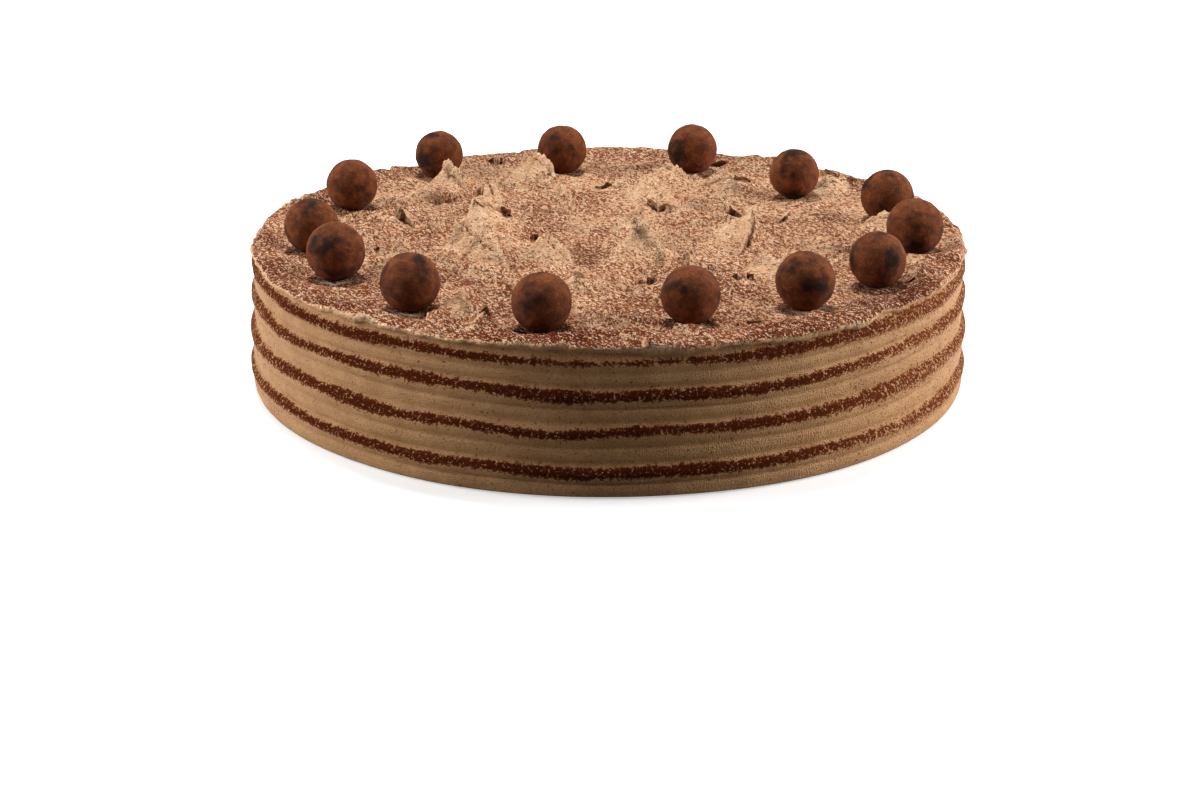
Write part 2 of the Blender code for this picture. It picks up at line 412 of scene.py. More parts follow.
def truffle_material():
    """Cocoa powder on a soft ganache ball: dry dust, browner where rubbed, nearly black where moist."""
    made, tree, shader = new_material("cocoa_powder", 0.92, 1.45)
    points = object_points(tree)
    rubbed = spread(tree, grain(tree, points, 4.0 * MM, 4.0, 0.6, 0.4), 0.38, 0.66)
    moist = spread(tree, grain(tree, points, 12.0 * MM, 3.0, 0.55), 0.52, 0.66)
    fine = grain(tree, points, 0.6 * MM, 3.0, 0.65)
    dusty = blend(tree, rubbed, linear(TRUFFLE_DRY), linear(TRUFFLE_BROWN))
    speckled = blend(tree, spread(tree, fine, 0.42, 0.62, 0.0, 0.75), dusty, linear(TRUFFLE_BROWN))
    colour = blend(tree, calculate(tree, "MULTIPLY", moist, 0.92), speckled, linear(TRUFFLE_MOIST))
    lumps = bump(tree, grain(tree, points, 2.0 * MM, 4.0, 0.6), 0.35 * MM, 0.7)
    rough = bump(tree, fine, 0.3 * MM, 0.9, lumps)
    tree.links.new(colour, shader.inputs["Base Color"])
    tree.links.new(rough, shader.inputs["Normal"])
    # Loose powder scatters light at grazing angles, which gives the ball its soft pale edge.
    shader.inputs["Sheen Weight"].default_value = 0.12
    shader.inputs["Sheen Roughness"].default_value = 0.6
    shader.inputs["Sheen Tint"].default_value = linear(POWDER_EDGE)
    shader.inputs["Specular IOR Level"].default_value = 0.2
    return made


cocoa_finish = truffle_material()
print("materials:", combed_cream.name, spread_cream.name, cocoa_finish.name)

# %% [markdown]
# ## The combed side
#
# The side could be cut from a drum with many grooves, or built up from rings. It is rolled up instead: a
# flat grid, as high as the cake and as long as its way round, is bent into a ring, and each row of it
# takes its radius and height from one fine profile with four rolls. Spinning the profile gives the same
# shape but takes far longer at this fineness. The grid keeps the scratches level, and its two ends are
# welded. Each vertex then moves a little, because no hand holds a comb quite still.

# %% Roll up the combed side
SIDE_STEPS = 1100
PROFILE_STEP = 0.72 * MM

# The comb's work ends at the upper edge, under the lip of the top, and the side then tucks in there.
UPPER_EDGE = 52.0 * MM
SIDE_TOP = 54.2 * MM
SIDE_TOP_RADIUS = 139.0 * MM
TUCK_RADIUS = 134.0 * MM
TUCK_HEIGHT = 44.0 * MM

# How steeply a roll swells from its foot and its ledge falls in, and its fine crease and soft waist.
ROLL_BULGE = 2.6
LEDGE_SLOPE = 1.35
CREASE_DEPTH = 0.95 * MM
CREASE_WIDTH = 0.42 * MM
WAIST_DEPTH = 0.75 * MM
WAIST_WIDTH = 2.4 * MM
# How far up each roll the comb's fine inner crease runs, as a share of the roll.
CREASES = (0.42, 0.40, 0.40, 0.40)

# Soft dents a finger wide, and the ragged drag of the comb's teeth, which runs along the comb's way.
DENT_DEPTH = 0.28 * MM
DENT_WIDTH = 16.0 * MM
DRAG_DEPTH = 0.16 * MM
DRAG_WIDTH = 1.1 * MM
DRAG_STRETCH = 0.06

# The cocoa bands: how far their middle lies below the ledge's upper edge, half their width, how ragged
# their two edges are, how far the specks thin out below them at the front and at the flanks, and where
# the topmost band has its waist, in degrees to the right of the front.
BAND_DROP = 2.4 * MM
BAND_HALF = 2.1 * MM
BAND_WANDER = 0.6 * MM
BAND_RAGGED = (0.7 * MM, 0.6 * MM)
BAND_SOFT = 1.3 * MM
BAND_FADE = (2.4, 3.6)
BAND_WAIST = 2.0
BAND_WAIST_WIDTH = 16.0
BAND_THICK = 0.88


def roll_radius(z):
    """The radius of the side at a height: four rolls with a ledge above each."""
    for (low, high, crest), crease in zip(ROLLS, CREASES):
        if z <= high + HALF_GAP:
            face_top = high - LEDGE_HEIGHT
            if z < face_top:
                share = max((z - low) / (face_top - low), 0.0)
                bulge = 1.0 - (1.0 - share) ** ROLL_BULGE
                out = crest - ROLL_UNDERCUT * (1.0 - bulge)
                below = low + (high - low) * crease - z
                line = CREASE_DEPTH * math.exp(-((below / CREASE_WIDTH) ** 2))
                return out - line - WAIST_DEPTH * math.exp(-((below / WAIST_WIDTH) ** 2))
            share = min((z - face_top) / LEDGE_HEIGHT, 1.0)
            return crest - LEDGE_DEPTH * share**LEDGE_SLOPE
    share = min((z - ROLLS[-1][1]) / (SIDE_TOP - ROLLS[-1][1]), 1.0)
    foot = ROLLS[-1][2] - LEDGE_DEPTH
    return foot + (SIDE_TOP_RADIUS - foot) * smooth_step(share)


def side_profile():
    """(radius, height) from the base to the tucked-in upper edge, evenly stepped."""
    points = [(BASE_RADIUS, 0.0), (BASE_RADIUS + BASE_EDGE, BASE_EDGE * 0.5)]
    steps = int((SIDE_TOP - BASE_EDGE) / PROFILE_STEP)
    for step in range(steps + 1):
        z = BASE_EDGE + (SIDE_TOP - BASE_EDGE) * step / steps
        points.append((roll_radius(z), z))
    points.append((SIDE_TOP_RADIUS - 0.8 * MM, SIDE_TOP + 0.4 * MM))
    points.append((TUCK_RADIUS, TUCK_HEIGHT))
    return points


def make_side():
    profile = np.array(side_profile())
    rows = len(profile) - 1
    shape = bmesh.new()
    bmesh.ops.create_grid(shape, x_segments=SIDE_STEPS, y_segments=rows, size=1.0)
    seam = []
    for vert in shape.verts:
        round_share = (vert.co.x + 1.0) / 2.0
        radius, height = profile[round((vert.co.y + 1.0) / 2.0 * rows)]
        if round_share < 0.5 / SIDE_STEPS or round_share > 1.0 - 0.5 / SIDE_STEPS:
            round_share = 0.0
            seam.append(vert)
        turn = 2.0 * math.pi * round_share
        vert.co = (radius * math.cos(turn), radius * math.sin(turn), height)
    bmesh.ops.remove_doubles(shape, verts=seam, dist=0.001 * MM)
    # The base and the hidden upper opening are each closed by one flat face.
    for low in (True, False):
        ring = [
            edge
            for edge in shape.edges
            if edge.is_boundary and (edge.verts[0].co.z < BASE_EDGE) == low
        ]
        bmesh.ops.contextual_create(shape, geom=ring)
    made = new_object("combed_side", shape, combed_cream)
    mesh = made.data
    points = read_points(mesh)
    x, y, z = points.T
    out = np.hypot(x, y)
    turn = flat_points(x / out, y / out) * WANDER_SCALE
    height = np.column_stack((0 * z, 0 * z, z))
    outward = RADIUS_WANDER * same_noise(turn + height * 30.0, 1.0)
    upward = LINE_WANDER * same_noise(turn * 2.0 + height * 40.0 + np.array([4.0, 0.0, 0.0]), 1.0)
    foot = smooth_step(z / LEDGE_HEIGHT)
    edge = smooth_step((z - UPPER_EDGE) / (2.0 * MM))
    dents = DENT_DEPTH * noise_at(flat_points(x, y, z * 1.6), DENT_WIDTH, 1)
    drag = DRAG_DEPTH * noise_at(flat_points(x * DRAG_STRETCH, y * DRAG_STRETCH, z), DRAG_WIDTH, 2)
    inside = foot * (1.0 - edge)
    share = (out + outward * (1.0 - edge) + (dents + drag) * inside) / out
    hidden = out < SIDE_TOP_RADIUS - 2.0 * MM
    share = np.where(hidden, 1.0, share)
    points = np.column_stack((x * share + DRUM_SHIFT, y * share, z + upward * inside))
    write_points(mesh, points)

    # Cocoa lies on each ledge and thins out down the roll below it. The topmost band narrows to a thin
    # line at the front, and towards both flanks the specks reach further down.
    ring = flat_points(x / out, y / out)
    front = np.degrees(np.arctan2(x, -y))
    right_flank = smooth_step((x / out - 0.4) / 0.45)
    flank = np.maximum(right_flank, 0.6 * smooth_step((-x / out - 0.75) / 0.23))
    cocoa = np.zeros(len(z))
    for number, (_low, high, _crest) in enumerate(ROLLS):
        topmost = number == len(ROLLS) - 1
        narrow = 0.45 * np.exp(-(((front - BAND_WAIST) / BAND_WAIST_WIDTH) ** 2)) * topmost
        wide = 1.0 - narrow + 0.4 * noise_at(ring, 0.3, 3 + number % 2) + 0.2 * noise_at(ring, 0.08, 9)
        ragged = noise_at(ring * RIM_RADIUS, 2.2 * MM, 12 + number)
        middle = high - BAND_DROP + BAND_WANDER * noise_at(ring, 0.4, 16 + number) + upward
        half = BAND_HALF * wide * (1.0 + 0.35 * flank)
        upper = smooth_step((middle + half + BAND_RAGGED[0] * ragged - z) / BAND_SOFT)
        fade = (BAND_FADE[0] + BAND_FADE[1] * flank) * MM
        lower = smooth_step((z - (middle - half - BAND_RAGGED[1] * ragged) + fade * 0.6) / fade)
        cocoa = np.maximum(cocoa, upper * lower * (BAND_THICK - 0.2 * flank))
    speckle = 0.05 + 0.12 * flank
    cocoa = np.maximum(cocoa, speckle * foot)
    paint(mesh, "cocoa", cocoa)
    return made


side = make_side()
print("combed side:", len(side.data.polygons), "faces")

# %% [markdown]
# ## The worked top
#
# The top is a square grid pressed round, so that its faces stay nearly even from the middle to the
# rim. Swirled noise gives the broad strokes of the spatula, the peaks rise along their crests, and the
# cream that was pulled highest leans over a little, which leaves a cleft behind it, darkened further
# with painted shade. The rim is extruded into a lip that hangs over the side, and closed underneath.

# %% Strokes, peaks and tears
# Small tears in the cream, in millimetres: x, y, half length, direction in degrees, half width, depth.
TEARS = (
    (-82, 23, 8.0, -58, 1.7, 3.2),
    (-28, 1, 2.5, 20, 1.2, 2.0),
    (-41, 20, 2.6, 10, 1.5, 2.6),
    (-53, 62, 5.5, -70, 1.6, 2.8),
    (53, 36, 6.0, -62, 1.8, 2.6),
    (51, -61, 4.5, 15, 1.1, 2.4),
    (15, -61, 3.6, 25, 1.2, 2.8),
    (-49, 118, 3.5, 30, 1.6, 2.2),
    (22, 35, 9.0, -55, 1.3, 2.6),
    (16, -22, 8.0, -50, 1.4, 3.4),
    (98, 88, 4.5, -50, 1.8, 2.8),
    (106, 80, 3.0, -40, 1.2, 2.0),
    (114, -59, 3.2, 35, 1.0, 1.8),
    (50, -109, 4.5, 8, 1.3, 1.8),
    (50, 117, 4.0, -20, 1.5, 2.0),
    (-44, -6, 3.0, 60, 1.4, 2.2),
    (60, 92, 5.0, -40, 1.4, 2.2),
    (72, 28, 5.0, 60, 1.1, 1.4),
    (-28, -88, 4.0, 35, 1.2, 1.6),
    (0, 74, 6.0, 12, 1.4, 2.0),
)
# How much longer than in the table a tear runs, how far its edge wanders, how wide its slope is, how
# much deeper it goes, and the share of its depth by which the cream rises behind it.
TEAR_STRETCH = 1.35
TEAR_JAG = 0.55 * MM
TEAR_REACH = 1.6
TEAR_DEPTH = 1.1
TEAR_FLAP = 0.7

# Broad strokes of the spatula: the direction in degrees that each climbs from, the distance from one
# to the next and the height in millimetres, and a seed.
STROKES = (
    (38.0, 27.0, 3.6, 51),
    (75.0, 16.0, 2.2, 52),
    (8.0, 10.0, 1.3, 53),
)
STROKE_EDGE = 1.5
RIB_HEIGHT = 0.2 * MM
CRUMB_HEIGHT = 0.35 * MM
LUMP_HEIGHT = 0.7 * MM

# The fine crests stand a little higher than the plain solid's, and lean over by a share of their
# height. A tall one has a cleft behind it: its distance, its width and its depth.
PEAK_EXTRA = 1.8 * MM
PEAK_LEAN = 0.2
TALL_PEAK = 6.0 * MM
CLEFT_AWAY = 1.9 * MM
CLEFT_WIDTH = 0.85 * MM
CLEFT_DEPTH = 2.4 * MM


def to_disc(x, y, radius):
    """Points of the square from -1 to 1, moved to the disc so that equal areas stay equal."""
    wide = np.abs(x) > np.abs(y)
    long, short = np.where(wide, x, y), np.where(wide, y, x)
    turn = math.pi / 4.0 * short / np.where(long == 0.0, 1.0, long)
    first, second = radius * long * np.cos(turn), radius * long * np.sin(turn)
    return np.where(wide, first, second), np.where(wide, second, first)


def peak_field(x, y):
    """Height of the pulled-up cream, its lean in x and y, its bare faces and the clefts behind it."""
    height = np.zeros(len(x))
    lean_x, lean_y, face, cleft = (np.zeros(len(x)) for _ in range(4))
    streak = noise_at(flat_points(x, y), 1.7 * MM, 11)
    wobble = noise_at(flat_points(x, y), 6.0 * MM, 12)
    for peak in PEAKS:
        tip_x, tip_y, end_x, end_y, top, left, right = (value * MM for value in peak)
        run_x, run_y = end_x - tip_x, end_y - tip_y
        length = math.hypot(run_x, run_y)
        along = ((x - tip_x) * run_x + (y - tip_y) * run_y) / length
        across = ((y - tip_y) * run_x - (x - tip_x) * run_y) / length
        across = across + wobble * 1.1 * MM * smooth_step(along / (6.0 * MM))
        top = top + PEAK_EXTRA
        before = np.exp(np.minimum(along, 0.0) / TIP_WIDTH)
        after = np.clip(1.0 - np.maximum(along, 0.0) / length, 0.0, 1.0) ** CREST_FALL
        spread_to = np.where(across > 0.0, left, right)
        flank = np.exp(-np.abs(across) / spread_to)
        rise = top * before * after * flank
        # The flank that looks to the front left stayed bare, and the spatula's drag left ribs that
        # run down it from the crest.
        front_side = 1.0 if run_y - run_x < 0.0 else -1.0
        before_tip = smooth_step(1.0 + along / (5.0 * MM))
        bare = np.where(across * front_side < 0.6 * MM, before_tip * after**0.6, 0.0)
        bare = bare * np.exp(-((np.abs(across) / (spread_to * 1.3)) ** 2)) * smooth_step(top / (6.0 * MM))
        rib = np.sin(along / (0.8 * MM) + wobble * 4.0) * 0.08 + streak * 0.12
        rise = rise * (1.0 + rib * (0.4 + 0.6 * bare) * smooth_step(rise / (2.0 * MM)))
        face = np.maximum(face, bare)
        # Behind a tall crest the cream tore open in a narrow cleft that follows it.
        gap = across * front_side - CLEFT_AWAY - 0.5 * wobble * MM
        slit = np.exp(-((gap / CLEFT_WIDTH) ** 2)) * smooth_step((along / length - 0.02) / 0.15)
        slit = slit * smooth_step((0.95 - along / length) / 0.3)
        slit = slit * smooth_step((top - TALL_PEAK) / (3.0 * MM))
        cleft = np.maximum(cleft, slit)
        steep = 1.0 if left < right else -1.0
        share = np.clip(rise / top, 0.0, 1.0) ** 2.0
        lean = steep * top * PEAK_LEAN * share
        better = rise > height
        height = np.where(better, rise, height)
        lean_x = np.where(better, lean * -run_y / length, lean_x)
        lean_y = np.where(better, lean * run_x / length, lean_y)
    return height, lean_x, lean_y, face, cleft


def tear_field(x, y):
    """Depth of the small tears, each a slope down to a sharp edge with a raised flap behind it, and
    how far each point lies inside one."""
    depth = np.zeros(len(x))
    inside = np.zeros(len(x))
    jag = noise_at(flat_points(x, y), 3.0 * MM, 61) * TEAR_JAG
    for at_x, at_y, half, degrees, width, deep in TEARS:
        turn = math.radians(degrees)
        along = (x - at_x * MM) * math.cos(turn) + (y - at_y * MM) * math.sin(turn)
        across = (y - at_y * MM) * math.cos(turn) - (x - at_x * MM) * math.sin(turn) + jag
        ends = np.clip(1.0 - (along / (half * TEAR_STRETCH * MM)) ** 2, 0.0, 1.0) ** 0.7
        slope = np.clip(1.0 + across / (width * TEAR_REACH * MM * np.maximum(ends, 0.05)), 0.0, 1.0)
        cut = np.where(across < 0.0, slope, 0.0) * ends
        flap = np.where(across >= 0.0, np.exp(-across / (width * 1.2 * MM)), 0.0) * ends
        depth = depth - deep * TEAR_DEPTH * MM * cut + deep * TEAR_FLAP * MM * flap
        inside = np.maximum(inside, smooth_step((cut - 0.5) / 0.4))
    return depth, inside


def top_surface(x, y):
    """For points of the top: moved x and y, height, bare faces, and how far each lies in a tear."""
    out = np.hypot(x, y)
    lift = smooth_step((out - RIM_LIFT_START) / (RIM_LIFT_END - RIM_LIFT_START))
    swell = same_noise(flat_points(x, y), SWELL_WIDTH)
    ripple = same_noise(flat_points(x, y, 0.3), RIPPLE_WIDTH)
    base = TOP_LEVEL + RIM_LIFT * lift + TOP_SWELL * swell + TOP_RIPPLE * ripple
    calm = 1.0 - 0.5 * smooth_step((out - 122.0 * MM) / (12.0 * MM))

    # Strokes of the spatula: each climbs steeply on its front left and falls away gently behind, and
    # slower noise bends them so that they curl and run out.
    place = flat_points(x, y)
    bend = noise_at(place, 34.0 * MM, 21)
    sway = noise_at(place, 21.0 * MM, 22)
    fray = noise_at(place, 4.5 * MM, 23)
    strokes = np.zeros(len(x))
    for degrees, width, tall, seed in STROKES:
        turn = math.radians(degrees)
        phase = (x * math.cos(turn) + y * math.sin(turn)) / (width * MM)
        phase = phase + 1.5 * bend + 0.5 * sway + 0.06 * fray
        part = phase - np.floor(phase)
        climb = smooth_step(part * width / STROKE_EDGE) * (1.0 - part) ** 1.3
        strength = smooth_step((noise_at(place, width * 1.7 * MM, seed) + 0.25 + 0.15 * fray) / 0.7)
        strokes = strokes + tall * MM * climb * strength
    # The blade's edge drags fine ribs along its way, and small lumps stay behind.
    blade_x = (x * 0.55 - y * 0.84) * 0.16 + bend * 3.0 * MM
    ribs = noise_at(flat_points(blade_x, x * 0.84 + y * 0.55), 1.5 * MM, 27)
    small = 1.0 - np.abs(noise_at(flat_points(x + sway * 5.0 * MM, y), 7.5 * MM, 24)) * 2.0
    crumb = noise_at(place, 2.6 * MM, 25)
    base = base + calm * (strokes + LUMP_HEIGHT * np.clip(small, -0.5, 1.0) - 1.3 * MM)
    base = base + RIB_HEIGHT * ribs + CRUMB_HEIGHT * crumb
    height, lean_x, lean_y, face, cleft = peak_field(x, y)
    depth, inside = tear_field(x, y)
    depth = depth - CLEFT_DEPTH * cleft
    # The clefts get the same painted shade as the tears.
    inside = np.maximum(inside, 0.9 * smooth_step((cleft - 0.4) / 0.5))
    return x + lean_x, y + lean_y, base + height + depth, face, inside


print("tears:", len(TEARS), "broad strokes:", len(STROKES))

# %% Seats for the truffles
SEAT_DEPTH = 1.0 * MM
SEAT_WIDTH = 7.0 * MM
SEAT_SHARE = 0.85


def press_truffles(x, y, z):
    """The cream, lower round each truffle and pressed to the ball where it sits."""
    for degrees, out, radius in TRUFFLES:
        turn = math.radians(degrees)
        away = np.hypot(x - out * math.cos(turn), y - out * math.sin(turn))
        reach = radius + 0.15 * MM
        seat = TRUFFLE_HEIGHT - radius + SEAT_DEPTH
        near = smooth_step((reach + SEAT_WIDTH - away) / SEAT_WIDTH)
        z = z + (np.minimum(z, seat) - z) * near * SEAT_SHARE
        under = np.sqrt(np.maximum(reach**2 - away**2, 0.0))
        bowl = np.where(away < reach, TRUFFLE_HEIGHT - under, 1.0)
        z = np.minimum(z, bowl)
    return z


print("seats:", len(TRUFFLES))

# %% Spread the top
TOP_CELLS = 292

# The lip: how far it stands out, where its lower edge hangs, and how much that edge waves and crimps.
# Its last ring lies hidden inside the drum.
LIP_RINGS = 10
LIP_OUT = 2.9 * MM
LIP_BOTTOM = 53.4 * MM
LIP_INNER = 138.2 * MM
LIP_WAVE = 3.0 * MM
LIP_CRIMP = 1.1 * MM
LIP_UNDER_RADIUS = 136.5 * MM
LIP_UNDER_HEIGHT = 46.0 * MM

# Two drooping curls of the lip and a stretch that hangs as a soft bead, in degrees right of the front.
CURL_AT = 40.0
CURL_WIDTH = 3.2
SMALL_CURL_AT = 14.0
SMALL_CURL_WIDTH = 2.5
CURL_DROP = 1.8 * MM
CURL_OUT = 1.2 * MM
BEAD_START = -2.0
BEAD_END = 44.0
BEAD_DROP = 1.3 * MM
BEAD_OUT = 0.9 * MM

# The truffles, counted from 0, with white fat squeezed out at their feet, and how thickly cocoa lies
# on the top before its clouds and the slopes change it.
SMEARED = (0, 10, 11, 13)
TOP_COCOA = 0.48


def make_top():
    shape = bmesh.new()
    ring = shape.verts.layers.int.new("ring")
    bmesh.ops.create_grid(shape, x_segments=TOP_CELLS, y_segments=TOP_CELLS, size=1.0)
    edges = [edge for edge in shape.edges if edge.is_boundary]
    for step in range(1, LIP_RINGS + 2):
        grown = bmesh.ops.extrude_edge_only(shape, edges=edges)["geom"]
        for vert in grown:
            if isinstance(vert, bmesh.types.BMVert):
                vert[ring] = step
        edges = [edge for edge in grown if isinstance(edge, bmesh.types.BMEdge) and edge.is_boundary]
    bmesh.ops.contextual_create(shape, geom=edges)
    made = new_object("spread_top", shape, spread_cream)
    mesh = made.data
    points = read_points(mesh)
    rings = np.empty(len(mesh.vertices), dtype=np.int32)
    mesh.attributes["ring"].data.foreach_get("value", rings)
    x, y = to_disc(points[:, 0], points[:, 1], TOP_EDGE_RADIUS)
    moved_x, moved_y, z, face, inside = top_surface(x, y)
    z = press_truffles(moved_x, moved_y, z)

    # The lip: a half turn from the top edge, out over the side and back in below.
    out = np.hypot(x, y)
    out = np.where(out == 0.0, 1.0, out)
    way_x, way_y = x / out, y / out
    way = flat_points(way_x, way_y)
    edge = rings > 0
    share = np.clip(rings / LIP_RINGS, 0.0, 1.0)
    front = np.degrees(np.arctan2(x, -y))
    curl = np.exp(-(((front - CURL_AT) / CURL_WIDTH) ** 2))
    curl = curl + 0.6 * np.exp(-(((front - SMALL_CURL_AT) / SMALL_CURL_WIDTH) ** 2))
    wavy = 0.35 + 0.65 * smooth_step((front + 10.0) / 25.0) * smooth_step((75.0 - front) / 25.0)
    wave = noise_at(way, 0.17, 31)
    crimp = noise_at(way, 0.045, 32)
    bead = smooth_step((front - BEAD_START) / 10.0) * smooth_step((BEAD_END - front) / 14.0)
    lower = LIP_BOTTOM + LIP_WAVE * wave * wavy + LIP_CRIMP * crimp - CURL_DROP * curl - BEAD_DROP * bead
    ragged = 0.9 * noise_at(way, 0.06, 33) + 1.3 * noise_at(way, 0.2, 34) * wavy
    ragged = ragged + 0.35 * noise_at(way, 0.016, 35)
    reach = LIP_OUT + ragged * MM + CURL_OUT * curl + BEAD_OUT * bead
    swing = share * math.pi
    lip_out = TOP_EDGE_RADIUS + reach * np.sin(swing) ** 0.8 - (TOP_EDGE_RADIUS - LIP_INNER) * share
    lip_z = lower + (z - lower) * (0.5 + 0.5 * np.cos(swing))
    last = rings > LIP_RINGS
    lip_out = np.where(last, LIP_UNDER_RADIUS, lip_out)
    lip_z = np.where(last, LIP_UNDER_HEIGHT, lip_z)
    shift = DRUM_SHIFT * smooth_step((out - 126.0 * MM) / (10.0 * MM))
    final_x = np.where(edge, way_x * lip_out + DRUM_SHIFT, moved_x + shift)
    final_y = np.where(edge, way_y * lip_out, moved_y)
    write_points(mesh, np.column_stack((final_x, final_y, np.where(edge, lip_z, z))))

    # Cocoa fell from above: thick on level places and along the rim, thin on steep flanks.
    normal = read_normals(mesh)
    level = smooth_step((normal[:, 2] - 0.72) / 0.25)
    faces_front = -0.62 * normal[:, 0] - 0.62 * normal[:, 1]
    bare = smooth_step((faces_front - 0.34) / 0.3)
    place = flat_points(final_x, final_y)
    clouds = noise_at(place, 17.0 * MM, 41)
    wide_clouds = noise_at(place, 45.0 * MM, 42)
    rim = smooth_step((np.hypot(final_x, final_y) - 118.0 * MM) / (16.0 * MM))
    # More cocoa to the front, less to the back: partly the dusting, partly painted shade on the front.
    front_dust_and_shade = smooth_step((-final_y - 20.0 * MM) / (90.0 * MM))
    back_half = smooth_step((final_y + 0.5 * final_x - 10.0 * MM) / (80.0 * MM))
    cocoa = TOP_COCOA + 0.1 * level + 0.17 * clouds + 0.17 * wide_clouds
    cocoa = cocoa + 0.12 * rim + 0.08 * front_dust_and_shade - 0.08 * back_half
    cocoa = cocoa * (1.0 - 0.6 * bare) * (1.0 - 0.7 * np.clip(face * 1.2, 0.0, 1.0) ** 1.5)
    frayed = 0.08 * noise_at(place, 3.0 * MM, 43)
    under = smooth_step((share + frayed - 0.42) / 0.2) * edge
    cocoa = cocoa * (1.0 - under)
    paint(mesh, "lip", under)
    # At the feet of some front truffles the bare white fat of the cream was squeezed out.
    smear = np.zeros(len(x))
    for number in SMEARED:
        degrees, away, radius = TRUFFLES[number]
        turn = math.radians(degrees)
        from_x, from_y = final_x - away * math.cos(turn), final_y - away * math.sin(turn)
        crescent = np.exp(-(((np.hypot(from_x, from_y) - 0.72 * radius) / (1.1 * MM)) ** 2))
        smear = np.maximum(smear, crescent * smooth_step(-from_y / radius - 0.1))
    paint(mesh, "smear", smear)
    paint(mesh, "cocoa", cocoa)
    # Painted shade in the tears and clefts, none on the lip.
    paint(mesh, "tear_shade", np.where(edge, 0.0, inside))
    return made


top = make_top()
print("spread top:", len(top.data.polygons), "faces")

# %% [markdown]
# ## Torn edges
#
# Where the spatula let go, the cream tore, and each tear and each peak ends in a thin ragged blade that
# leans over and throws a dark line beside it. A surface of heights cannot overhang, so these blades are
# small closed strips of their own, set on the crests, on the tears and loosely over the rest of the top.

# %% Raise the torn edges
FLAP_STEPS = 26
FLAP_ROWS = 4
FLAP_FOOT = 0.7 * MM
SMALL_FLAPS = 230

# The small ones lie this far from the middle at most and this far from any truffle, in millimetres, and
# run along the spatula's way, give or take some degrees.
FLAP_SPREAD = 128.0
FLAP_CLEAR = 15.0
FLAP_WAY = -42.0
FLAP_WAY_WANDER = 26.0

# A peak in the table that is lower than this, in millimetres, ends in no blade.
LOW_PEAK = 4.5


def flap_rows():
    """(middle x and y, half length, direction, height, lean, thickness) of each blade, in metres."""
    rows = []
    for tip_x, tip_y, end_x, end_y, tall, _left, _right in PEAKS:
        if tall >= LOW_PEAK:
            run_x, run_y = end_x - tip_x, end_y - tip_y
            back = 1.0 if run_y - run_x < 0.0 else -1.0
            half = math.hypot(run_x, run_y) * 0.5
            place = (tip_x + run_x * 0.46, tip_y + run_y * 0.46)
            rows.append((*place, half, math.atan2(run_y, run_x), 1.5 + 0.17 * tall, 0.8 * back, 0.7))
    for at_x, at_y, half, degrees, width, deep in TEARS:
        turn = math.radians(degrees)
        place = (at_x - math.sin(turn) * 0.3, at_y + math.cos(turn) * 0.3)
        rows.append((*place, half, turn, 0.5 + 0.42 * deep, -1.0 - 0.2 * width, 0.6))
    feet = []
    for degrees, away, _radius in TRUFFLES:
        turn = math.radians(degrees)
        feet.append((away / MM * math.cos(turn), away / MM * math.sin(turn)))
    draw = np.random.default_rng(19)
    for _ in range(SMALL_FLAPS):
        out = FLAP_SPREAD * math.sqrt(draw.random())
        turn = 2.0 * math.pi * draw.random()
        x, y = out * math.cos(turn), out * math.sin(turn)
        way = math.radians(FLAP_WAY + FLAP_WAY_WANDER * draw.standard_normal())
        if all(math.hypot(x - foot_x, y - foot_y) > FLAP_CLEAR for foot_x, foot_y in feet):
            half = 0.8 + 1.9 * draw.random() ** 1.6
            side = 1.0 if draw.random() < 0.7 else -1.0
            rows.append((x, y, half, way, 0.45 + 0.55 * draw.random(), side, 0.4))
    return [
        (x * MM, y * MM, half * MM, way, tall * MM, lean, thin * MM)
        for x, y, half, way, tall, lean, thin in rows
    ]


